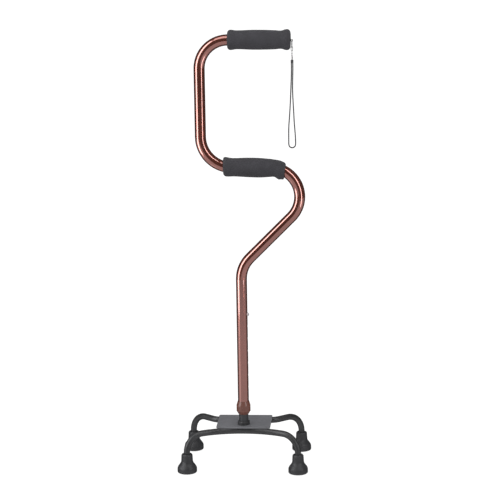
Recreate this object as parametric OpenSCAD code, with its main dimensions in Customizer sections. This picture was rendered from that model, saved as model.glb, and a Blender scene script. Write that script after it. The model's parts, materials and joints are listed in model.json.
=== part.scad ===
// Quad walking cane with two hand grips, one above the other, so that it can be used to
// stand up from a chair. The bent upper tube slides on a lower tube that is fixed to a
// four-footed base, and locks with a snap button and a lock collar.
//
// Millimetres. Origin: centre of the four feet, on the floor. +Z is up and +X points
// along the hand grips, towards the wrist strap. The tube is bent in one upright plane.

/* [Handles] */
// Height of the top grip's axis above the floor, at the lowest setting
top_axis_z = 873; // [862:1:890]
// Height of the lower grip's axis above the floor, at the lowest setting
low_axis_z = 618; // [608:1:626]
// Distance from the post's axis back to the axis of the upright run
back_x = 77; // [73:1:84]
// Distance from the post's axis forward to the axis at the front of the U turn
front_x = 119; // [114:1:120]
// Length of each hand grip
grip_len = 124.5; // [120:0.5:130]
// Largest diameter of a hand grip
grip_d = 39; // [37:0.5:41]

/* [Upper tube] */
// Outside diameter of the upper tube
tube_d = 22.2; // [21.8:0.1:22.4]
// Wall thickness of the upper tube
tube_wall = 1.5; // [1.4:0.05:1.6]
// Bend radius, on the axis, at the top of the upright run
top_bend_r = 57; // [50:1:60]
// Bend radius at the bottom of the upright run
back_bend_r = 62; // [55:1:64]
// Bend radius of the U turn in front of the lower grip
u_bend_r = 59; // [54:1:62]
// Bend radius where the slanted run turns down into the post
post_bend_r = 61; // [56:1:75]

/* [Height adjustment] */
// Distance between two adjustment holes
hole_pitch = 25.4; // [22:0.1:25.4]
// Number of steps above the lowest setting
height_steps = 6; // [4:1:6]
// Height of the snap button above the floor
button_z = 317; // [315:1:322]
// Diameter of the snap button
button_d = 7; // [6:0.1:7]
// How far the snap button stands out of the upper tube
button_proud = 3.3; // [2.5:0.1:3.6]

/* [Lock collar] */
// Largest diameter of the lock collar
collar_d = 28.4; // [28:0.1:30]
// Height of the lock collar's lower end above the floor
collar_z = 108.7; // [106:0.1:112]

/* [Base] */
// Distance between the feet along X, centre to centre
feet_x = 225; // [220:1:232]
// Distance between the feet along Y, centre to centre
feet_y = 156; // [152:1:160]
// How far the post stands in front of the middle of the feet
post_offset = 26; // [22:1:30]
// Width of the base plate along X
plate_w = 109.4; // [100:0.1:112]
// Thickness of the base plate
plate_t = 3; // [2.5:0.1:4]
// Diameter of a leg tube
leg_d = 12.7; // [12:0.1:13]
// Wall thickness of a leg tube
leg_wall = 1.5; // [1:0.1:2]
// Height of a leg tube's axis where it passes under the plate
leg_axis_z = 77; // [74:1:80]

/* [Feet] */
// Largest diameter of a rubber foot
foot_d = 39.6; // [38:0.1:41]
// Height of a rubber foot
foot_h = 38.5; // [37:0.5:40]

/* [Wrist strap] */
// Diameter of the wrist cord
cord_d = 2.5; // [2.2:0.1:2.5]
// Radius of the strap ring, on its wire's axis
ring_r = 6.6; // [6.4:0.1:6.8]

/* [Hidden] */
$fn = 64;

bronze = "#8c5a50";
foam_grey = "#46464a";
base_black = "#38393c";
plate_grey = "#66686c";
rubber_grey = "#3c3d40";
bright_metal = "#c9c7c4";
cord_black = "#26262a";

// Gap around parts that stay put, and radial clearance around parts that slide or turn
gap = 0.05;
slide_gap = 0.06;

// Tube sizes
tube_r = tube_d / 2;
bore_r = tube_r - tube_wall;
lower_r = bore_r - slide_gap;
lower_wall = 1.5;
leg_r = leg_d / 2;

// The upper tube's axis, drawn as [x, z] in its own plane
slant = 45;
top_c = [top_bend_r - back_x, top_axis_z - top_bend_r];
back_c = [back_bend_r - back_x, low_axis_z + back_bend_r];
u_c = [front_x - u_bend_r, low_axis_z - u_bend_r];
u_end = u_c + u_bend_r * [cos(slant), -sin(slant)];
post_bend_z = u_end[1] - u_end[0] - post_bend_r * (sin(slant) + cos(slant) - 1);
post_c = [post_bend_r, post_bend_z];
slant_end = post_c + post_bend_r * [-cos(slant), sin(slant)];

// Hand grips: the top one starts where the top bend ends
grip_x0 = top_c[0] - 0.3;
grip_x1 = grip_x0 + grip_len;
// The tube stops a little inside the top grip
tube_x1 = grip_x1 - 1;
grip_r = grip_d / 2;
grip_waist = 1.9;
flare_at = 7;
flare_width = 6;
end_round = 5.5;
// How far the lower grip reaches back along X past the end of its straight stretch, and
// the angles that its two bent ends turn through before they are cut off upright
low_grip_lead = 17.5;
low_grip_turn = [28, 62];

// Lock collar and collet, as heights above the collar's lower end
collar_r = collar_d / 2;
collar_seat_h = 1.5;
collar_cone_h = 8.1;
collar_thread_h = 18.3;
collar_h = 27.2;
thread_r = tube_r + 1.4;
collet_bottom = 3.3;
tube_end = 9.3;

// Base
foot_x = feet_x / 2;
foot_y = feet_y / 2;
plate_z = leg_axis_z + leg_r + gap;
plate_front = 48.3;
plate_back = 39;
plate_corner = 3;
post_ring_h = 7.6;
post_ring_r = lower_r + 2.7;
lower_tube_top = button_z + 28;
leg_bend_r = 35;
// Plan bend of each leg tube: radius on the axis, and angle
front_plan_r = 170;
front_plan_angle = 28;
rear_plan_r = 30;
rear_plan_angle = 40;
// The front tube turns down where its plan bend ends, which sets where it passes under
// the plate. The rear tube has a straight run between its two bends
front_y = exact(foot_y - front_plan_r * (1 - cos(front_plan_angle))
    - leg_bend_r * sin(front_plan_angle));
front_x0 = exact(foot_x - front_plan_r * sin(front_plan_angle)
    - leg_bend_r * cos(front_plan_angle));
rear_y = 34.2;
rear_run = exact((foot_y - rear_y - rear_plan_r * (1 - cos(rear_plan_angle)))
    / sin(rear_plan_angle) - leg_bend_r);
rear_x0 = exact(foot_x - rear_plan_r * sin(rear_plan_angle)
    - (rear_run + leg_bend_r) * cos(rear_plan_angle));

// Rubber feet
foot_r = foot_d / 2;
foot_edge = 3;
foot_band_top = 8.5;
foot_flare_top = 24.8;
foot_neck_r = 11.9;
foot_top_r = 11.3;
washer_z = 7;
washer_t = 1.5;
washer_r = 7.6;
leg_end_z = washer_z + washer_t + gap;

// Snap button and spring
button_r = button_d / 2;
button_tip = tube_r + button_proud;
button_flange_x = 5.6;
button_flange_t = 0.8;
button_flange_r = button_r + 0.9;
button_dome_r = 5;
spring_w = 8;
spring_t = 0.5;
spring_bend_r = 3;
spring_z = button_z - 32;
spring_top = button_z + 8;
spring_spread = 2.25;

// Strap hardware. Everything hangs on one upright line in front of the end plug
plug_flange_t = 0.9;
plug_flange_r = 10.7;
plug_len = 18;
eye_r = 1.9;
wire_r = 0.6;
strap_x = grip_x1 + 2.6;
eye_z = top_axis_z - 1.5;
shank_r = 0.75;
shank_len = 12;
ring_wire_r = 0.65;
ring_top_z = eye_z - eye_r + wire_r + ring_wire_r + gap;
ring_z = ring_top_z - ring_r;
link_r = 1.6;
link_top_z = ring_z - ring_r + ring_wire_r + wire_r + gap - link_r;
link_len = 5.2;
barrel_r = 1.5;
barrel_top = link_top_z - 14;
barrel_len = 10.4;
ferrule_h = 5.8;
ferrule_top = barrel_top - barrel_len - gap;
ferrule_bottom = ferrule_top - ferrule_h;
strand_x = 1.4;

// Route of the wrist cord from the ferrule, down, round and back up: [x, y, z] counted
// from the middle of the ferrule's lower face
cord_route = [
    [-1.4, 0, 0], [-1.4, 0, -12], [-1.9, 0.2, -30], [-2.8, 0.4, -48], [-3.7, 0.5, -66],
    [-4.8, 0.4, -86], [-6.3, 0.2, -107], [-7.7, 0, -124], [-8.2, -0.2, -138],
    [-8.3, -0.3, -157], [-8.2, -0.3, -162.9], [-6.9, -0.2, -166.8], [-3.6, -0.1, -169.2],
    [0.4, 0.1, -169.2], [3.7, 0.2, -166.8], [5, 0.4, -162.9], [5.2, 0.5, -157],
    [4.9, 0.5, -148], [4.1, 0.5, -135], [2.9, 0.3, -118], [2.2, 0.1, -101],
    [1.4, -0.2, -83], [0.7, -0.4, -66], [0.4, -0.4, -50], [0.8, -0.2, -32],
    [1.4, 0, -13], [1.4, 0, 0]
];
cord_sides = 8;
cord_steps = 3;

// Puts a shape drawn in the upper tube's plane, x forward and y up, in its place
module in_tube_plane() {
    translate([0, -post_offset, 0]) rotate([90, 0, 0]) children();
}

module ring_profile(outer, inner) {
    difference() {
        circle(r = outer);
        circle(r = inner);
    }
}

// Sweeps a flat profile along a straight line of length len, from the origin towards +X
module straight(len) {
    rotate([0, 90, 0]) linear_extrude(height = len) children();
}

// Sweeps a flat profile round a bend from the origin, which it leaves towards +X. It
// turns towards +Y through the angle
module bend(radius, angle) {
    translate([0, radius, 0])
        rotate([0, 0, -90])
            rotate_extrude(angle = angle) translate([radius, 0]) children();
}

// Moves to the end of such a bend. Square bends meet the next stretch exactly, and
// others stop a hairline short of it
module after_bend(radius, angle) {
    hairline = angle == 90 ? 0 : 0.001;
    translate([0, radius, 0])
        rotate([0, 0, angle]) translate([hairline, -radius, 0]) children();
}

// Lengths are rounded to a micrometre, so that stretches which are laid end to end meet
function exact(v) = round(v * 1000) / 1000;

module at_post() {
    translate([0, -post_offset, 0]) children();
}

module at_feet() {
    for (sx = [-1, 1], sy = [-1, 1])
        translate([sx * foot_x, sy * foot_y, 0]) children();
}

// ---- Base ----

module base_plate() {
    depth = plate_front + plate_back;
    color(plate_grey)
        difference() {
            translate([0, (plate_back - plate_front) / 2, plate_z])
                linear_extrude(height = plate_t) {
                    square([plate_w - 2 * plate_corner, depth], center = true);
                    square([plate_w, depth - 2 * plate_corner], center = true);
                    for (sx = [-1, 1], sy = [-1, 1])
                        translate([
                            sx * (plate_w / 2 - plate_corner),
                            sy * (depth / 2 - plate_corner)
                        ])
                            circle(r = plate_corner);
                }
            at_post()
                translate([0, 0, plate_z - 1])
                    cylinder(r = lower_r + gap, h = plate_t + 2);
        }
}

// A leg tube is straight under the plate, then bends away from the middle towards +Y on
// both sides, and turns down into its feet. Its axis passes under the plate at y0, and
// its plan bends start x0 to either side of the middle
module leg_tube(x0, y0, plan_r, plan_angle, run) {
    drop = exact(leg_axis_z - leg_bend_r - leg_end_z);
    color(base_black)
        translate([0, y0, leg_axis_z]) {
            translate([-x0, 0, 0]) straight(2 * x0) leg_profile();
            for (side = [0, 1])
                mirror([side, 0, 0])
                    translate([x0, 0, 0]) {
                        bend(plan_r, plan_angle) leg_profile();
                        after_bend(plan_r, plan_angle) leg_end(run, drop);
                    }
        }
}

module leg_end(run, drop) {
    if (run > 0) straight(run) leg_profile();
    translate([run, 0, -leg_bend_r]) {
        rotate([90, 0, 0])
            rotate_extrude(angle = 90) translate([leg_bend_r, 0]) leg_profile();
        translate([leg_bend_r, 0, -drop]) linear_extrude(height = drop) leg_profile();
    }
}

module leg_profile() {
    ring_profile(leg_r, leg_r - leg_wall);
}

module front_leg_tube() {
    mirror([0, 1, 0]) leg_tube(front_x0, front_y, front_plan_r, front_plan_angle, 0);
}

module rear_leg_tube() {
    leg_tube(rear_x0, rear_y, rear_plan_r, rear_plan_angle, rear_run);
}

// Beads of weld in the corner between each leg tube and the underside of the plate
module weld_beads() {
    bead_r = 2;
    bead_in = 5;
    rear_span = [14, 40];
    front_lead = 5;
    front_angle = 9;
    color(base_black)
        for (side = [0, 1])
            mirror([side, 0, 0])
                translate([0, 0, plate_z - 1.4]) {
                    translate([front_x0, -front_y - front_plan_r, 0])
                        rotate([0, 0, 90 - front_lead - front_angle])
                            rotate_extrude(angle = front_angle)
                                translate([front_plan_r + bead_in, 0]) circle(r = bead_r);
                    translate([rear_span[0], rear_y - bead_in, 0])
                        straight(rear_span[1] - rear_span[0]) circle(r = bead_r);
                }
}

// Welded ring with a rounded upper edge, where the lower tube meets the plate
module post_ring() {
    edge = 2;
    z0 = plate_z + plate_t + gap;
    color(base_black)
        at_post()
            translate([0, 0, z0])
                rotate_extrude()
                    polygon(concat(
                        [[lower_r + gap, 0], [post_ring_r, 0]],
                        [for (a = [0:15:90])
                            [
                                post_ring_r - edge + edge * cos(a),
                                post_ring_h - edge + edge * sin(a)
                            ]
                        ],
                        [[lower_r + gap, post_ring_h]]
                    ));
}

module lower_tube() {
    color(base_black)
        at_post()
            difference() {
                translate([0, 0, plate_z])
                    linear_extrude(height = lower_tube_top - plate_z)
                        ring_profile(lower_r, lower_r - lower_wall);
                translate([0, 0, button_z])
                    rotate([0, 90, 0]) cylinder(r = button_r + gap, h = lower_r + 2);
            }
}

// Bell-shaped rubber foot, with a blind hole for the leg tube and a pocket for the washer
module foot() {
    tread_h = 1;
    tread_w = 1.5;
    lip_h = 2;
    lip_in = 1.2;
    neck_r = foot_neck_r;
    flare = foot_r - neck_r;
    flare_h = foot_flare_top - foot_band_top;
    color(rubber_grey)
        difference() {
            rotate_extrude()
                polygon(concat(
                    [[0, 0]],
                    [for (a = [-90:18:0])
                        [
                            foot_r - foot_edge + foot_edge * cos(a),
                            foot_edge + foot_edge * sin(a)
                        ]
                    ],
                    [for (i = [0:10])
                        [
                            neck_r + flare * (1 + cos(18 * i)) / 2,
                            foot_band_top + flare_h * i / 10
                        ]
                    ],
                    [
                        [foot_top_r, foot_h - lip_h],
                        [foot_top_r - lip_in, foot_h],
                        [leg_r + gap, foot_h],
                        [leg_r + gap, leg_end_z],
                        [washer_r + gap, leg_end_z],
                        [washer_r + gap, washer_z - gap],
                        [0, washer_z - gap]
                    ]
                ));
            for (r = [7, 12])
                translate([0, 0, -tread_h])
                    linear_extrude(height = 2 * tread_h) ring_profile(r + tread_w, r);
        }
}

module front_left_foot() {
    translate([-foot_x, -foot_y, 0]) foot();
}

module front_right_foot() {
    translate([foot_x, -foot_y, 0]) foot();
}

module rear_left_foot() {
    translate([-foot_x, foot_y, 0]) foot();
}

module rear_right_foot() {
    translate([foot_x, foot_y, 0]) foot();
}

// Steel washer inside each foot, under the end of the leg tube
module foot_washers() {
    color(bright_metal)
        at_feet() translate([0, 0, washer_z]) cylinder(r = washer_r, h = washer_t);
}

// ---- Height adjustment ----

// Bent leaf spring that pushes the snap button out through both tubes
function spring_side(r) = concat(
    [[-r - spring_spread, spring_top]],
    [for (a = [180:15:360]) [r * cos(a), spring_z + r * sin(a)]],
    [[r + spring_spread, spring_top]]
);

module snap_spring() {
    outer = spring_side(spring_bend_r + spring_t / 2);
    inner = spring_side(spring_bend_r - spring_t / 2);
    last = len(inner) - 1;
    color(bright_metal)
        in_tube_plane()
            translate([0, 0, -spring_w / 2])
                linear_extrude(height = spring_w)
                    polygon(concat(outer, [for (i = [0:last]) inner[last - i]]));
}

// Snap button with a flange inside the lower tube and a domed end
module snap_button() {
    // Height of the part of the ball that caps the button
    cap_h = 2.6;
    color(bright_metal)
        translate([0, -post_offset, button_z])
            rotate([0, 90, 0]) {
                translate([0, 0, button_flange_x])
                    cylinder(r = button_flange_r, h = button_flange_t);
                intersection() {
                    translate([0, 0, button_flange_x])
                        cylinder(r = button_r, h = button_tip - button_flange_x);
                    translate([0, 0, button_tip - button_dome_r])
                        rotate_extrude() {
                            intersection() {
                                circle(r = button_dome_r);
                                square(button_dome_r);
                            }
                            translate([0, button_dome_r - button_tip])
                                square([button_r + 1, button_tip - cap_h]);
                        }
                }
            }
}

// ---- Upper tube ----

// The whole bent axis from the open end of the top run down to the post, as stretches
// laid end to end
module upper_run() {
    translate([tube_x1, top_axis_z, 0])
        rotate([0, 0, 180]) {
            straight(tube_x1 - top_c[0]) tube_profile();
            translate([tube_x1 - top_c[0], 0, 0]) {
                bend(top_bend_r, 90) tube_profile();
                after_bend(top_bend_r, 90) back_run();
            }
        }
}

module back_run() {
    rise = top_c[1] - back_c[1];
    straight(rise) tube_profile();
    translate([rise, 0, 0]) {
        bend(back_bend_r, 90) tube_profile();
        after_bend(back_bend_r, 90) {
            straight(u_c[0] - back_c[0]) tube_profile();
            translate([u_c[0] - back_c[0], 0, 0]) mirror([0, 1, 0]) u_turn_run();
        }
    }
}

module u_turn_run() {
    slant_len = exact(norm(u_end - slant_end));
    post_len = exact(post_bend_z - collar_z - tube_end);
    bend(u_bend_r, 90 + slant) tube_profile();
    after_bend(u_bend_r, 90 + slant) {
        straight(slant_len) tube_profile();
        translate([slant_len, 0, 0])
            mirror([0, 1, 0]) {
                bend(post_bend_r, slant) tube_profile();
                after_bend(post_bend_r, slant) straight(post_len) tube_profile();
            }
    }
}

module tube_profile() {
    ring_profile(tube_r, bore_r);
}

module upper_tube() {
    color(bronze)
        difference() {
            in_tube_plane() upper_run();
            for (i = [0:height_steps])
                translate([lower_r / 2, -post_offset, button_z - i * hole_pitch])
                    rotate([0, 90, 0]) cylinder(r = button_r + gap, h = tube_r);
        }
}

// Split collet on the end of the upper tube, which the lock collar closes
module collet() {
    slit_w = 1.2;
    slit_h = 4;
    slit_count = 4;
    outer = thread_r - slide_gap;
    cone = (thread_r - lower_r - 0.2) / (collar_cone_h - collar_seat_h);
    nose_r = lower_r + 0.2 + cone * (collet_bottom - collar_seat_h) - 0.1;
    color(cord_black)
        at_post()
            translate([0, 0, collar_z])
                difference() {
                    rotate_extrude()
                        polygon([
                            [bore_r, collet_bottom],
                            [nose_r, collet_bottom],
                            [outer, collar_cone_h + 0.1],
                            [outer, collar_thread_h - 0.3],
                            [tube_r + gap, collar_thread_h - 0.3],
                            [tube_r + gap, tube_end - gap],
                            [bore_r, tube_end - gap]
                        ]);
                    for (i = [0:slit_count - 1])
                        rotate([0, 0, 45 + i * 360 / slit_count])
                            translate([0, -slit_w / 2, collet_bottom - 1])
                                cube([2 * thread_r, slit_w, slit_h + 1]);
                }
}

// Lock collar: sloping shoulder, plain band and a lower taper that closes on the collet
module lock_collar() {
    r = collar_r;
    color(bronze)
        at_post()
            translate([0, 0, collar_z])
                rotate_extrude()
                    polygon([
                        [lower_r + 0.2, 0],
                        [r - 3.9, 0],
                        [r - 3.3, 0.8],
                        [r - 0.9, 4.9],
                        [r, 6.3],
                        [r, 18.6],
                        [r - 0.7, 20.8],
                        [tube_r + 0.6, 26.6],
                        [tube_r + 0.4, collar_h],
                        [tube_r + gap, collar_h],
                        [tube_r + gap, collar_thread_h],
                        [thread_r, collar_thread_h],
                        [thread_r, collar_cone_h],
                        [lower_r + 0.2, collar_seat_h]
                    ]);
}

// ---- Hand grips ----

// Radius of a grip at s along it: a full belly, a waist on each side of it, a flared rim
// near each end, and rounded ends
function bump(s, at, width) = exp(-pow((s - at) / width, 2));
function end_drop(e) =
    e >= end_round ? 0 : end_round - sqrt(pow(end_round, 2) - pow(end_round - e, 2));
function grip_radius(s) =
    grip_r - grip_waist
    + (grip_waist - 0.2) * (1 - cos(360 * s / grip_len)) / 2
    + grip_waist * (bump(s, flare_at, flare_width) + bump(s, grip_len - flare_at, flare_width))
    - end_drop(s) - end_drop(grip_len - s);

// The outline's stations: close together at the rounded ends
grip_stations = concat(
    [0, 0.4, 1.5, 3, 5, 7.5, 10, 13, 17],
    [for (i = [0:8]) 24 + (grip_len - 48) * i / 8],
    [for (e = [17, 13, 10, 7.5, 5, 3, 1.5, 0.4, 0]) grip_len - e]
);

module top_grip() {
    color(foam_grey)
        in_tube_plane()
            translate([grip_x0, top_axis_z, 0])
                rotate([0, 90, 0])
                    rotate_extrude()
                        polygon(concat(
                            [[tube_r + gap, 0]],
                            [for (s = grip_stations) [grip_radius(s), s]],
                            [[tube_r + gap, grip_len]]
                        ));
}

// The lower grip is the same sleeve, pulled over the tube far enough to follow a short
// stretch of the back bend and a longer stretch of the U turn. Its ends stay upright
module lower_grip() {
    flat_len = u_c[0] - back_c[0];
    end_r = grip_r - 0.5;
    cut_h = 4 * grip_r;
    past = 60;
    stations = [for (i = [0:8]) flat_len * i / 8];
    color(foam_grey)
        in_tube_plane()
            translate([back_c[0], low_axis_z, 0])
                difference() {
                    union() {
                        mirror([1, 0, 0])
                            bend(back_bend_r, low_grip_turn[0])
                                ring_profile(end_r, tube_r + gap);
                        rotate([0, 90, 0])
                            rotate_extrude()
                                polygon(concat(
                                    [[tube_r + gap, 0]],
                                    [for (s = stations) [grip_radius(s + low_grip_lead), s]],
                                    [[tube_r + gap, flat_len]]
                                ));
                        translate([flat_len, 0, 0])
                            mirror([0, 1, 0])
                                bend(u_bend_r, low_grip_turn[1])
                                    ring_profile(end_r, tube_r + gap);
                    }
                    for (x = [-low_grip_lead - past, grip_len - low_grip_lead])
                        translate([x, -cut_h, -cut_h]) cube([past, 2 * cut_h, 2 * cut_h]);
                }
}

// ---- End plug and wrist strap ----

// Moves to the strap's upright line, at height z
module on_strap_line(z) {
    translate([strap_x, -post_offset, z]) children();
}

// Plug pressed into the open end of the top run
module end_plug() {
    face = plug_flange_t + gap;
    color(cord_black)
        translate([tube_x1, -post_offset, top_axis_z])
            rotate([0, 90, 0])
                difference() {
                    rotate_extrude()
                        polygon([
                            [0, -plug_len],
                            [bore_r - 0.8, -plug_len],
                            [bore_r - gap, 2 - plug_len],
                            [bore_r - gap, gap],
                            [plug_flange_r, gap],
                            [plug_flange_r, face - 0.5],
                            [plug_flange_r - 0.5, face],
                            [0, face]
                        ]);
                    translate([top_axis_z - eye_z, 0, face - shank_len])
                        cylinder(r = shank_r + gap, h = shank_len + 1);
                }
}

// Screw eye: a small wire loop on a shank that is screwed into the plug
module strap_eye() {
    shank_end = tube_x1 + plug_flange_t + gap - shank_len + 0.1;
    shank_stop = strap_x - eye_r;
    color(bright_metal) {
        on_strap_line(eye_z)
            rotate([90, 0, 0]) rotate_extrude() translate([eye_r, 0]) circle(r = wire_r);
        translate([shank_end, -post_offset, eye_z])
            rotate([0, 90, 0]) cylinder(r = shank_r, h = shank_stop - shank_end);
    }
}

module strap_ring() {
    color(bright_metal)
        on_strap_line(ring_z)
            rotate([0, 90, 0]) rotate_extrude() translate([ring_r, 0]) circle(r = ring_wire_r);
}

// Half of the link's outline: a straight side and the round end that follows it
module link_half() {
    translate([-link_len / 2, 0, 0]) straight(link_len) circle(r = wire_r);
    translate([link_len / 2, 0, 0]) bend(link_r, 180) circle(r = wire_r);
}

// Oblong wire link on the ring, with a neck and a round head held in the swivel barrel
module swivel_link() {
    neck_r = 0.5;
    bead_r = 1.2;
    head_r = 0.95;
    head_h = 1.4;
    head_z = barrel_top - 4;
    bead_z = barrel_top + 2.6;
    color(bright_metal) {
        on_strap_line(link_top_z)
            rotate([90, 0, 0])
                for (end = [0, 1])
                    translate([0, -link_len / 2, 0])
                        rotate([0, 0, 180 * end])
                            translate([link_r, 0, 0]) rotate([0, 0, 90]) link_half();
        on_strap_line(head_z) cylinder(r = head_r, h = head_h);
        on_strap_line(head_z)
            cylinder(r = neck_r, h = link_top_z - link_len - link_r - head_z);
        on_strap_line(bead_z) sphere(r = bead_r);
    }
}

// Sleeve that turns on the link's head and carries the cord's ferrule
module swivel_barrel() {
    edge = 0.4;
    hole_r = 0.58;
    room_r = 1.05;
    roof_t = 1.2;
    floor_z = barrel_len - 5.2;
    color(bright_metal)
        on_strap_line(barrel_top - barrel_len)
            rotate_extrude()
                polygon([
                    [0, 0],
                    [barrel_r, 0],
                    [barrel_r, barrel_len - edge],
                    [barrel_r - edge, barrel_len],
                    [hole_r, barrel_len],
                    [hole_r, barrel_len - roof_t],
                    [room_r, barrel_len - roof_t - edge],
                    [room_r, floor_z],
                    [0, floor_z]
                ]);
}

// Dark ferrule that grips both ends of the cord
module cord_ferrule() {
    side_r = 1.35;
    color(cord_black)
        on_strap_line(ferrule_bottom)
            linear_extrude(height = ferrule_h) {
                square([2 * strand_x, 2 * side_r], center = true);
                for (side = [-1, 1]) translate([side * strand_x, 0]) circle(r = side_r);
            }
}

// Smooth curve through the route's points
function route_point(i) = cord_route[max(0, min(len(cord_route) - 1, i))];
function curve_point(i, t) =
    let (a = route_point(i - 1), b = route_point(i), c = route_point(i + 1), d = route_point(i + 2))
    0.5 * (2 * b + (c - a) * t + (2 * a - 5 * b + 4 * c - d) * t * t
    + (3 * b - a - 3 * c + d) * t * t * t);

module wrist_cord() {
    spans = len(cord_route) - 1;
    rings = spans * cord_steps + 1;
    path = [for (k = [0:rings - 1]) curve_point(floor(k / cord_steps), (k % cord_steps) / cord_steps)];
    points = [
        for (k = [0:rings - 1])
            let (
                along = path[min(k + 1, rings - 1)] - path[max(k - 1, 0)],
                ahead = k == 0 || k == rings - 1 ? [0, 0, sign(along[2])] : along / norm(along),
                across = cross([0, 1, 0], ahead) / norm(cross([0, 1, 0], ahead)),
                up = cross(ahead, across)
            )
            for (j = [0:cord_sides - 1])
                path[k]
                + cord_d / 2 * (across * cos(360 * j / cord_sides) + up * sin(360 * j / cord_sides))
    ];
    walls = [
        for (k = [0:rings - 2])
            for (j = [0:cord_sides - 1])
                let (a = k * cord_sides + j, b = k * cord_sides + (j + 1) % cord_sides)
                [a, a + cord_sides, b + cord_sides, b]
    ];
    caps = [
        [for (j = [0:cord_sides - 1]) j],
        [for (j = [cord_sides - 1:-1:0]) (rings - 1) * cord_sides + j]
    ];
    color(cord_black)
        on_strap_line(ferrule_bottom) polyhedron(points = points, faces = concat(walls, caps));
}

base_plate();
front_leg_tube();
rear_leg_tube();
weld_beads();
post_ring();
lower_tube();
front_left_foot();
front_right_foot();
rear_left_foot();
rear_right_foot();
foot_washers();
snap_spring();
snap_button();
upper_tube();
collet();
lock_collar();
top_grip();
lower_grip();
end_plug();
strap_eye();
strap_ring();
swivel_link();
swivel_barrel();
cord_ferrule();
wrist_cord();
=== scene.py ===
import json
import math

import bpy
from mathutils import Matrix, Vector, noise

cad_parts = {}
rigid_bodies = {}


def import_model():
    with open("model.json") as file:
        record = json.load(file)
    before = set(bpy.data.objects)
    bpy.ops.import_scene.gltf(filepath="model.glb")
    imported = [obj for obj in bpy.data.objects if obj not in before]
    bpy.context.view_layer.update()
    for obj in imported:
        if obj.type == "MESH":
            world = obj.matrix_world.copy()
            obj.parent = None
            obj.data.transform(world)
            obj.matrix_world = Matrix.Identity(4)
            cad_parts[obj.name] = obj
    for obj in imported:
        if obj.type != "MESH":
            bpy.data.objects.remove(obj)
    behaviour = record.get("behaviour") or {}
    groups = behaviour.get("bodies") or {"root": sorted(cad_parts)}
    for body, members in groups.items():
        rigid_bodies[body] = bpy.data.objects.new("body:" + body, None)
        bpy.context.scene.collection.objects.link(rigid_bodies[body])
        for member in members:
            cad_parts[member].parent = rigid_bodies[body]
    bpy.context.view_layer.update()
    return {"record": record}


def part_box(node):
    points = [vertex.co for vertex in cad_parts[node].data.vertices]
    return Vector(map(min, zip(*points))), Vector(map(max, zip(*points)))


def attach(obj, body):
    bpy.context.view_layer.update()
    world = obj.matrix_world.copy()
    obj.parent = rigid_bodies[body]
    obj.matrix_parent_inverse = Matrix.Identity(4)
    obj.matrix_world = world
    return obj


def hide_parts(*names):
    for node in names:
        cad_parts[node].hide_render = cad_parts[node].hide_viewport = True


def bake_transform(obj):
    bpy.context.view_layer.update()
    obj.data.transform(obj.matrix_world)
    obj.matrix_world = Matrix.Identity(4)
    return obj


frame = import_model()

scene = bpy.context.scene

# Sizes that the CAD model sets, in metres
MM = 0.001
POST_Y = -26 * MM
TUBE_R = 11.1 * MM
GRIP_LEN = 124.5 * MM
# Heights of the top grip's and the lower grip's axis
TOP_Z = 873 * MM
LOW_Z = 618 * MM
# The bends that the lower grip reaches round: centre (x, z) and radius of the tube's axis
BACK_BEND = (-15 * MM, 680 * MM, 62 * MM)
U_TURN = (60 * MM, 559 * MM, 59 * MM)
# The upright line that the wrist strap hangs on
STRAP_X = 106.8 * MM
CORD_D = 2.5 * MM


# ---- Camera ----

# Place in metres, turn in degrees, and focal length and sensor in millimetres
CAMERA_PLACE = (0.3427, -4.5872, 1.477)
CAMERA_YAW, CAMERA_PITCH, CAMERA_ROLL = 4.07, 12.66, -0.89
FOCAL_LENGTH = 168.4
SENSOR_WIDTH = 36


def add_camera():
    """Stands well back, a little to the right and above, and looks slightly down."""
    yaw, pitch, roll = (math.radians(a) for a in (CAMERA_YAW, CAMERA_PITCH, CAMERA_ROLL))
    ahead = Vector(
        (-math.sin(yaw) * math.cos(pitch), math.cos(yaw) * math.cos(pitch), -math.sin(pitch))
    )
    level = Vector((math.cos(yaw), math.sin(yaw), 0))
    above = level.cross(ahead)
    right = math.cos(roll) * level + math.sin(roll) * above
    up = math.cos(roll) * above - math.sin(roll) * level
    turn = Matrix((right, up, -ahead)).transposed()
    data = bpy.data.cameras.new("camera")
    data.sensor_width = SENSOR_WIDTH
    data.lens = FOCAL_LENGTH
    data.clip_end = 100
    cam = bpy.data.objects.new("camera", data)
    cam.matrix_world = Matrix.LocRotScale(Vector(CAMERA_PLACE), turn, None)
    scene.collection.objects.link(cam)
    scene.camera = cam


add_camera()


# ---- Mesh helpers ----


def new_object(name, verts, faces, smooth=True):
    mesh = bpy.data.meshes.new(name)
    mesh.from_pydata(verts, [], faces)
    mesh.validate()
    if smooth:
        mesh.polygons.foreach_set("use_smooth", [True] * len(mesh.polygons))
    mesh.update()
    obj = bpy.data.objects.new(name, mesh)
    scene.collection.objects.link(obj)
    return obj


def closed_sweep(rings, sides):
    """Faces that join rings of vertices, each with that many sides, and close both ends."""
    faces = []
    for i in range(rings - 1):
        for j in range(sides):
            a, b = i * sides + j, i * sides + (j + 1) % sides
            faces.append((a, b, b + sides, a + sides))
    faces.append(tuple(range(sides))[::-1])
    faces.append(tuple((rings - 1) * sides + j for j in range(sides)))
    return faces


def curve_through(points, steps):
    """Smooth curve through the points, with steps samples to each span."""
    last = len(points) - 1
    out = []
    for i in range(last):
        a, b = points[max(0, i - 1)], points[i]
        c, d = points[i + 1], points[min(last, i + 2)]
        for k in range(steps):
            t = k / steps
            out.append(
                0.5
                * (
                    2 * b
                    + (c - a) * t
                    + (2 * a - 5 * b + 4 * c - d) * t * t
                    + (3 * b - a - 3 * c + d) * t * t * t
                )
            )
    out.append(points[last].copy())
    return out


# ---- Materials ----


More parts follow.
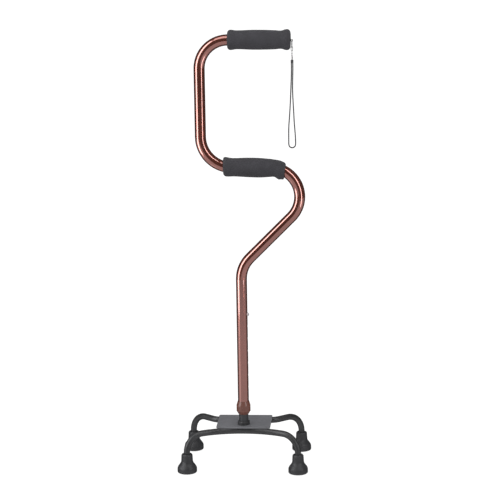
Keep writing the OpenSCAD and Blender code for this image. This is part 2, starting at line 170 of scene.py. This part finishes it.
class Nodes:
    """A material's node tree, with short ways to add and join nodes."""

    def __init__(self, name):
        self.mat = bpy.data.materials.new(name)
        self.mat.use_nodes = True
        self.tree = self.mat.node_tree
        self.tree.nodes.clear()
        out = self.tree.nodes.new("ShaderNodeOutputMaterial")
        self.bsdf = self.tree.nodes.new("ShaderNodeBsdfPrincipled")
        self.tree.links.new(self.bsdf.outputs[0], out.inputs["Surface"])

    def add(self, kind, inputs=None, **settings):
        n = self.tree.nodes.new(kind)
        for k, v in settings.items():
            setattr(n, k, v)
        for k, v in (inputs or {}).items():
            self.put(n.inputs[k], v)
        return n

    def put(self, socket, value):
        if isinstance(value, bpy.types.NodeSocket):
            self.tree.links.new(value, socket)
        elif socket.type == "RGBA":
            socket.default_value = (*value, 1)
        else:
            socket.default_value = value

    def set(self, **values):
        for k, v in values.items():
            self.put(self.bsdf.inputs[k.replace("_", " ")], v)

    def place(self):
        return self.add("ShaderNodeTexCoord").outputs["Object"]

    def stretched(self, scale):
        return self.add("ShaderNodeMapping", {"Vector": self.place(), "Scale": scale}).outputs[0]

    def noise(self, scale, detail, vector=None):
        return self.add(
            "ShaderNodeTexNoise",
            {
                "Vector": vector or self.place(),
                "Scale": scale,
                "Detail": detail,
                "Roughness": 0.55,
            },
        ).outputs["Fac"]

    def ramp(self, fac, stops):
        n = self.add("ShaderNodeValToRGB", {"Fac": fac})
        ramp = n.color_ramp
        while len(ramp.elements) < len(stops):
            ramp.elements.new(0.5)
        for e, (at, colour) in zip(ramp.elements, stops):
            e.position = at
            e.color = (*colour, 1)
        return n.outputs["Color"]

    def remap(self, value, low, high):
        """Spreads the middle of a noise over the range from low to high."""
        return self.add(
            "ShaderNodeMapRange",
            {"Value": value, "From Min": 0.3, "From Max": 0.7, "To Min": low, "To Max": high},
        ).outputs[0]

    def math(self, operation, a, b):
        return self.add("ShaderNodeMath", {0: a, 1: b}, operation=operation).outputs[0]

    def mottle(self, cloud, fine, share):
        """A broad noise with a share of a fine one in it."""
        broad = self.math("MULTIPLY", cloud, 1 - share)
        return self.math("ADD", broad, self.math("MULTIPLY", fine, share))

    def bump(self, height, strength, distance):
        return self.add(
            "ShaderNodeBump", {"Height": height, "Strength": strength, "Distance": distance}
        ).outputs[0]


def anodised(name, dark, mid, light, rough):
    """Anodised tube: slightly clouded metal under a dyed, clear skin."""
    n = Nodes(name)
    cloud = n.noise(9, 3)
    fine = n.noise(420, 2)
    n.set(
        Base_Color=n.ramp(n.mottle(cloud, fine, 0.2), [(0.3, dark), (0.5, mid), (0.72, light)]),
        Metallic=0.85,
        Roughness=n.remap(cloud, rough, rough + 0.04),
        Coat_Weight=1.0,
        Coat_Roughness=0.08,
        Coat_IOR=1.95,
        Normal=n.bump(fine, 0.008, 0.00003),
    )
    return n.mat


def painted(name, dark, light, rough, grain, depth):
    """Sprayed paint with a slight orange peel and faint handling marks."""
    n = Nodes(name)
    cloud = n.noise(22, 4)
    peel = n.noise(grain, 3)
    n.set(
        Base_Color=n.ramp(cloud, [(0.3, dark), (0.7, light)]),
        Roughness=n.remap(n.noise(60, 5), rough - 0.06, rough + 0.1),
        Normal=n.bump(peel, depth, 0.0004),
        Coat_Weight=0.15,
        Coat_Roughness=0.3,
    )
    return n.mat


def rubber(name, dark, light):
    """Moulded rubber with a matt bloom and fine grain."""
    n = Nodes(name)
    cloud = n.noise(70, 5)
    grain = n.noise(1500, 3)
    n.set(
        Base_Color=n.ramp(cloud, [(0.3, dark), (0.72, light)]),
        Roughness=n.remap(cloud, 0.42, 0.6),
        Normal=n.bump(grain, 0.25, 0.0003),
        Specular_IOR_Level=0.45,
    )
    return n.mat


def moulded(name, dark, light, rough):
    """Injection-moulded plastic with faint flow clouding."""
    n = Nodes(name)
    cloud = n.noise(45, 4)
    grain = n.noise(1200, 2)
    n.set(
        Base_Color=n.ramp(cloud, [(0.3, dark), (0.7, light)]),
        Roughness=n.remap(cloud, rough, rough + 0.1),
        Normal=n.bump(grain, 0.08, 0.0002),
    )
    return n.mat


def plated(name, dark, light, rough, metal=0.95):
    """Bright metal with fine scuffs."""
    n = Nodes(name)
    cloud = n.noise(120, 4)
    scuff = n.noise(900, 3)
    n.set(
        Base_Color=n.ramp(cloud, [(0.3, dark), (0.7, light)]),
        Metallic=metal,
        Roughness=n.remap(scuff, rough, rough + 0.15),
        Normal=n.bump(scuff, 0.05, 0.0001),
    )
    return n.mat


def foam(name, dark, mid, light):
    """Closed-cell foam: small open pores, broad mottling and a soft sheen."""
    n = Nodes(name)
    pores = n.add(
        "ShaderNodeTexVoronoi", {"Vector": n.place(), "Scale": 950.0, "Randomness": 1.0}
    ).outputs["Distance"]
    cloud = n.noise(38, 5)
    fine = n.noise(800, 4)
    n.set(
        Base_Color=n.ramp(n.mottle(cloud, fine, 0.4), [(0.3, dark), (0.55, mid), (0.75, light)]),
        Roughness=0.86,
        Specular_IOR_Level=0.3,
        Sheen_Weight=0.03,
        Sheen_Roughness=0.5,
        Normal=n.bump(n.math("ADD", n.math("MULTIPLY", pores, 0.7), fine), 0.6, 0.0007),
    )
    return n.mat


def braid(name, dark, light):
    """Polyester braid with a slight shine on the raised threads."""
    n = Nodes(name)
    threads = n.noise(2600, 3, n.stretched((1, 1, 0.35)))
    n.set(
        Base_Color=n.ramp(threads, [(0.3, dark), (0.7, light)]),
        Roughness=0.62,
        Sheen_Weight=0.02,
        Normal=n.bump(threads, 0.5, 0.0003),
    )
    return n.mat


# The function that makes each material, and what it is given: colours from dark to light,
# and then the roughness and other numbers that it takes
LOOKS = {
    "bronze_tube": (
        anodised, (0.25, 0.070, 0.045), (0.28, 0.078, 0.051), (0.315, 0.088, 0.059), 0.14
    ),
    "collar_plastic": (moulded, (0.095, 0.036, 0.026), (0.125, 0.049, 0.036), 0.22),
    # the base plate is the same black paint as the legs but given a much paler grey: painted
    # reflection of the lights on its upward face
    "plate_paint": (painted, (0.098, 0.099, 0.108), (0.118, 0.119, 0.130), 0.5, 700, 0.2),
    "leg_paint": (painted, (0.016, 0.016, 0.017), (0.024, 0.024, 0.026), 0.42, 500, 0.12),
    "post_paint": (painted, (0.020, 0.021, 0.023), (0.030, 0.031, 0.034), 0.34, 500, 0.12),
    "foot_rubber": (rubber, (0.017, 0.017, 0.019), (0.027, 0.027, 0.030)),
    "washer_steel": (plated, (0.42, 0.42, 0.43), (0.56, 0.56, 0.57), 0.35),
    "spring_steel": (plated, (0.32, 0.33, 0.36), (0.44, 0.45, 0.48), 0.3),
    "button_steel": (plated, (0.60, 0.60, 0.61), (0.72, 0.72, 0.73), 0.16, 0.7),
    "collet_plastic": (moulded, (0.016, 0.016, 0.017), (0.026, 0.026, 0.028), 0.45),
    "grip_foam": (
        foam, (0.020, 0.019, 0.022), (0.028, 0.027, 0.032), (0.037, 0.035, 0.042)
    ),
    "plug_plastic": (moulded, (0.016, 0.016, 0.018), (0.028, 0.028, 0.031), 0.4),
    "strap_wire": (plated, (0.06, 0.052, 0.052), (0.10, 0.088, 0.088), 0.3),
    "barrel_metal": (plated, (0.34, 0.32, 0.32), (0.45, 0.43, 0.43), 0.3),
    "ferrule_plastic": (moulded, (0.016, 0.016, 0.018), (0.03, 0.03, 0.033), 0.4),
    "cord_braid": (braid, (0.008, 0.008, 0.009), (0.022, 0.022, 0.025)),
}
MATERIALS = {slot: make(slot, *look) for slot, (make, *look) in LOOKS.items()}


def dress(obj, slot):
    obj.data.materials.clear()
    obj.data.materials.append(MATERIALS[slot])


for part in frame["record"]["subparts"]:
    for s in bpy.data.objects[part["node"]].material_slots:
        s.material = MATERIALS[part["material_slot"]]


# ---- Wrist cord ----

# The route from the ferrule down, round and back up, in millimetres from the middle of
# the ferrule's lower face
CORD_ROUTE = (
    (-1.4, 0, 0), (-1.4, 0, -12), (-1.9, 0.2, -30), (-2.8, 0.4, -48), (-3.7, 0.5, -66),
    (-4.8, 0.4, -86), (-6.3, 0.2, -107), (-7.7, 0, -124), (-8.2, -0.2, -138),
    (-8.3, -0.3, -157), (-8.2, -0.3, -162.9), (-6.9, -0.2, -166.8), (-3.6, -0.1, -169.2),
    (0.4, 0.1, -169.2), (3.7, 0.2, -166.8), (5, 0.4, -162.9), (5.2, 0.5, -157),
    (4.9, 0.5, -148), (4.1, 0.5, -135), (2.9, 0.3, -118), (2.2, 0.1, -101),
    (1.4, -0.2, -83), (0.7, -0.4, -66), (0.4, -0.4, -50), (0.8, -0.2, -32),
    (1.4, 0, -13), (1.4, 0, 0),
)
# Length of cord in which a bundle of threads winds round once, and the number of bundles
BRAID_PITCH = 7.0 * MM
BUNDLES = 6
# Share of the radius that the surface sinks by in a groove between two bundles, and where
# a left-hand bundle passes over
GROOVE = 0.035
LEFT_OVER = 0.02


def add_cord():
    """A round braid: a tube whose surface rises where a bundle of threads passes over."""
    ferrule_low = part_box("cord_ferrule")[0][2]
    foot = Vector((STRAP_X, POST_Y, ferrule_low))
    path = curve_through([foot + MM * Vector(p) for p in CORD_ROUTE], 40)
    lengths = [0.0]
    for a, b in zip(path, path[1:]):
        lengths.append(lengths[-1] + (b - a).length)
    sides = 24
    verts = []
    side = Vector((0, 1, 0))
    last = len(path) - 1
    for i, p in enumerate(path):
        ahead = path[min(i + 1, last)] - path[max(i - 1, 0)]
        if i in (0, last):
            ahead = Vector((0, 0, ahead.z))
        ahead.normalize()
        side = (side - side.dot(ahead) * ahead).normalized()
        other = ahead.cross(side)
        for j in range(sides):
            turn = 2 * math.pi * j / sides
            along = 2 * math.pi * lengths[i] / BRAID_PITCH
            left = math.cos(BUNDLES / 2 * (turn + along))
            back = math.cos(BUNDLES / 2 * (turn - along))
            over = abs(left) - abs(back)
            r = CORD_D / 2 * (1 - GROOVE * (1 - abs(over)) - LEFT_OVER * (over > 0))
            verts.append(p + r * (math.cos(turn) * side + math.sin(turn) * other))
    obj = new_object("wrist_cord_braid", verts, closed_sweep(len(path), sides))
    dress(obj, "cord_braid")
    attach(obj, "strap")
    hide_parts("wrist_cord")


add_cord()


# ---- Foam grips ----

# Distance along a grip, and how far its skin stands above and below the tube's axis there,
# in millimetres, before the ends are rounded: a flared rim, a waist, a full middle, and a
# waist and a rim again
TOP_OUTLINE = (
    (0, 19.7, 19.7), (8, 19.9, 19.8), (18, 18.7, 18.5), (48, 19.6, 19.4), (70, 19.5, 19.5),
    (93, 18.7, 19), (106, 17.9, 18.1), (116, 20.4, 20.6), (124.5, 19.9, 19.9),
)
# The lower grip bunches up on the inside of the U turn
LOW_OUTLINE = (
    (0, 19.7, 19.2), (8, 19.8, 18.7), (19, 18.9, 17.7), (48, 19.6, 19.3), (72, 18.9, 20),
    (93, 17.2, 19), (102, 16.6, 18.3), (111.5, 17.3, 21.5), (118, 17.6, 19.6),
    (124.5, 17.5, 17.4),
)
# Where each grip starts along X
TOP_START = -20.3 * MM
LOW_START = -32.5 * MM
# The foam's skin strays from its outline in broad swells and small dents: waves to about a
# metre, and depth in millimetres
SWELL_WAVES, SWELL_DEPTH = 38, 0.16
DENT_WAVES, DENT_DEPTH = 130, 0.06


def outline_at(outline, ends, s):
    """Height above and below the axis, in metres, at s metres along a grip. ends are the
    radii that the two ends are rounded to, in millimetres."""
    s /= MM
    last = len(outline) - 1
    i = 0
    while i < last - 1 and s > outline[i + 1][0]:
        i += 1
    start, stop = Vector(outline[i]), Vector(outline[i + 1])
    before, after = Vector(outline[max(0, i - 1)]), Vector(outline[min(last, i + 2)])
    span = stop.x - start.x
    t = min(1.0, max(0.0, (s - start.x) / span))
    # a smooth curve through the points
    leave = (stop - before) / (stop.x - before.x) * span
    arrive = (after - start) / (after.x - start.x) * span
    skin = start.lerp(stop, t * t * (3 - 2 * t))
    skin = skin + (t - 2 * t * t + t**3) * leave + (t**3 - t * t) * arrive
    drop = 0.0
    for r, gone in zip(ends, (s, GRIP_LEN / MM - s)):
        if gone < r:
            drop += r - math.sqrt(max(0.0, r * r - (r - gone) ** 2))
    return MM * (skin.y - drop), MM * (skin.z - drop)


def top_height(x, up):
    """Height of the line that runs up above the axis of the straight top run."""
    return TOP_Z + up


def low_height(x, up):
    """Height at x of the line that runs up above the tube's axis in the lower grip."""
    for (cx, cz, r), side in ((BACK_BEND, -1), (U_TURN, 1)):
        past = (x - cx) * side
        if past > 0:
            return cz + side * math.sqrt((r + side * up) ** 2 - past**2)
    return LOW_Z + up


def add_grip(name, node, start, outline, ends, height_at, lean, seed):
    """A foam sleeve round the tube, built of upright sections from x = start onwards.
    The far end leans back by lean at the bottom."""
    rings, sides = 190, 96
    bore = TUBE_R + 0.05 * MM
    # stations stand closer together towards both ends
    stations = [GRIP_LEN * (0.5 - 0.5 * math.cos(math.pi * k / rings)) for k in range(rings + 1)]
    # each section as its station, and its share of the way from the bore to the skin
    profile = [(stations[0], f) for f in (0.35, 0.7, 0.9)]
    profile += [(s, 1.0) for s in stations]
    profile += [(stations[-1], f) for f in (0.9, 0.7, 0.35)]
    profile += [(s, 0.0) for s in stations[::-5]]
    verts, faces = [], []
    for s, share in profile:
        above, below = outline_at(outline, ends, s)
        in_last_fifth = max(0.0, s / GRIP_LEN * 5 - 4)
        for j in range(sides):
            turn = 2 * math.pi * j / sides
            out = Vector((0, math.cos(turn), math.sin(turn)))
            high = (1 + out.z) / 2
            x = start + s - lean * (1 - high) * in_last_fifth
            inner = Vector((x, POST_Y + bore * out.y, height_at(x, bore * out.z)))
            centre = Vector((x, POST_Y, height_at(x, 0.0)))
            # the flanks follow the flatter of the two
            flank = 2 * high * (1 - high) * min(above, below)
            skin = above * high**2 + flank + below * (1 - high) ** 2
            here = inner.lerp(centre + skin * out, share)
            if share > 0:
                swell = noise.noise(here * SWELL_WAVES + Vector((seed, 0, 0)))
                dent = noise.noise(here * DENT_WAVES + Vector((0, seed, 0)))
                here += out * MM * (SWELL_DEPTH * swell + DENT_DEPTH * dent) * share
            verts.append(here)
    # a closed skin: along the outside, back through the bore, and round again
    rows = len(profile)
    for i in range(rows):
        for j in range(sides):
            a, b = i * sides + j, i * sides + (j + 1) % sides
            c, d = (i + 1) % rows * sides + (j + 1) % sides, (i + 1) % rows * sides + j
            faces.append((a, b, c, d))
    obj = new_object(name, verts, faces)
    dress(obj, "grip_foam")
    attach(obj, "upper")
    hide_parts(node)


add_grip(
    "top_foam_grip", "top_grip", TOP_START, TOP_OUTLINE, (6, 6), top_height, lean=0.0, seed=3.7
)
add_grip(
    "lower_foam_grip", "lower_grip", LOW_START, LOW_OUTLINE, (5, 2.6), low_height,
    lean=4 * MM, seed=11.2,
)


# ---- Snap button's spring ----


def add_spring():
    """A bent leaf spring inside the tubes, built as one fixed mesh. In the real cane the arm on
    the button's side gives way with the button.
    """
    bend_r, spread = 3 * MM, 2.25 * MM
    foot, top = 285 * MM, 325 * MM
    half_t, half_w, edge = 0.25 * MM, 4 * MM, 0.1 * MM
    steps = 24
    arm = [k / steps for k in range(steps + 1)]
    # down the far arm, round the bend at the foot, and up the button's arm
    line = [(-bend_r - spread * (1 - f), top + (foot - top) * f) for f in arm]
    for degrees in range(188, 360, 8):
        a = math.radians(degrees)
        line.append((bend_r * math.cos(a), foot + bend_r * math.sin(a)))
    line += [(bend_r + spread * f, foot + (top - foot) * f) for f in arm]
    # the strip's section, with broken edges, as distance out of its plane and across it
    quarter = [(half_t, half_w - edge), (half_t - edge, half_w)]
    half = quarter + [(-t, w) for t, w in reversed(quarter)]
    section = half + [(-t, -w) for t, w in half]
    verts = []
    for i, (x, z) in enumerate(line):
        (x0, z0), (x1, z1) = line[max(i - 1, 0)], line[min(i + 1, len(line) - 1)]
        out = Vector((z1 - z0, 0, x0 - x1)).normalized()
        for t, w in section:
            verts.append(Vector((x, POST_Y + w, z)) + t * out)
    obj = new_object("bent_leaf_spring", verts, closed_sweep(len(line), len(section)))
    dress(obj, "spring_steel")
    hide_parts("snap_spring")
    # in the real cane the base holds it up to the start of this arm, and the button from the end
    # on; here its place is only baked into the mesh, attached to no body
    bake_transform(obj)


add_spring()


# ---- Floor and light ----


def add_floor():
    size = 40
    verts = [(-size, -size, 0), (size, -size, 0), (size, size, 0), (-size, size, 0)]
    floor = new_object("floor", verts, [(0, 1, 2, 3)], smooth=False)
    n = Nodes("floor_white")
    n.set(Base_Color=(0.15, 0.15, 0.15), Roughness=1.0, Specular_IOR_Level=0.0)
    n.set(Emission_Color=(1.0, 1.0, 1.0), Emission_Strength=0.88)
    floor.data.materials.append(n.mat)
    # glossy surfaces see the world's own floor instead
    floor.visible_glossy = False


def link_lamp(name, width, height, power):
    data = bpy.data.lights.new(name, "AREA")
    data.shape = "RECTANGLE"
    data.size, data.size_y = width, height
    data.energy = power
    lamp = bpy.data.objects.new(name, data)
    scene.collection.objects.link(lamp)
    return lamp


def add_softbox(name, angle, away, low, high, width, glow):
    """An upright softbox that faces the cane and shows in its gloss alone. angle counts
    from the front, right is plus, and glow is the brightness of its surface."""
    height = high - low
    lamp = link_lamp(name, width, height, glow * math.pi * width * height)
    lamp.data.color = (0.97, 0.985, 1.0)
    turn = math.radians(angle)
    lamp.location = (away * math.sin(turn), -away * math.cos(turn), (low + high) / 2)
    lamp.rotation_euler = (math.pi / 2, 0, turn)
    lamp.visible_diffuse = False


def add_top_light():
    lamp = link_lamp("top_softbox", 1.4, 1.0, 9)
    lamp.location = (-0.1, -0.5, 2.1)
    lamp.rotation_euler = (math.radians(14), 0, 0)


def add_world():
    """White all round for soft light. Glossy surfaces see a dark studio instead, with a
    paler floor in front of the cane."""
    soft_light, floor_glow, dark_glow = 1.45, 0.7, 0.03
    world = bpy.data.worlds.new("studio")
    world.use_nodes = True
    tree = world.node_tree
    tree.nodes.clear()
    link = tree.links.new

    def add(kind, **inputs):
        node = tree.nodes.new(kind)
        for key, value in inputs.items():
            node.inputs[key.replace("_", " ")].default_value = value
        return node

    def step(value, start, stop, before, after):
        """Goes smoothly from before to after as the value goes from start to stop."""
        node = add(
            "ShaderNodeMapRange", From_Min=start, From_Max=stop, To_Min=before, To_Max=after
        )
        node.interpolation_type = "SMOOTHSTEP"
        link(value, node.inputs["Value"])
        return node.outputs[0]

    out = add("ShaderNodeOutputWorld")
    mix = add("ShaderNodeMixShader")
    plain = add("ShaderNodeBackground", Color=(1, 1, 1, 1), Strength=soft_light)
    studio = add("ShaderNodeBackground", Color=(1, 1, 1.03, 1))
    split = add("ShaderNodeSeparateXYZ")
    link(add("ShaderNodeTexCoord").outputs["Generated"], split.inputs[0])
    # the floor starts a little below the horizon and fades out behind the cane
    floor = step(split.outputs["Z"], -0.235, -0.22, floor_glow, 0.0)
    front = step(split.outputs["Y"], -0.1, 0.35, 1.0, 0.0)
    glow = tree.nodes.new("ShaderNodeMath")
    glow.operation = "MULTIPLY_ADD"
    link(floor, glow.inputs[0])
    link(front, glow.inputs[1])
    glow.inputs[2].default_value = dark_glow
    link(glow.outputs[0], studio.inputs["Strength"])
    link(add("ShaderNodeLightPath").outputs["Is Glossy Ray"], mix.inputs["Fac"])
    link(plain.outputs[0], mix.inputs[1])
    link(studio.outputs[0], mix.inputs[2])
    link(mix.outputs[0], out.inputs["Surface"])
    scene.world = world


add_floor()
add_softbox("left_softbox", angle=-60, away=0.95, low=0.08, high=1.9, width=0.44, glow=5.6)
add_softbox("left_card", angle=-60, away=0.42, low=0.01, high=0.2, width=0.22, glow=0.6)
add_softbox("right_softbox", angle=48, away=0.95, low=0.16, high=1.9, width=0.18, glow=6.2)
add_top_light()
add_world()
scene.view_settings.view_transform = "Standard"
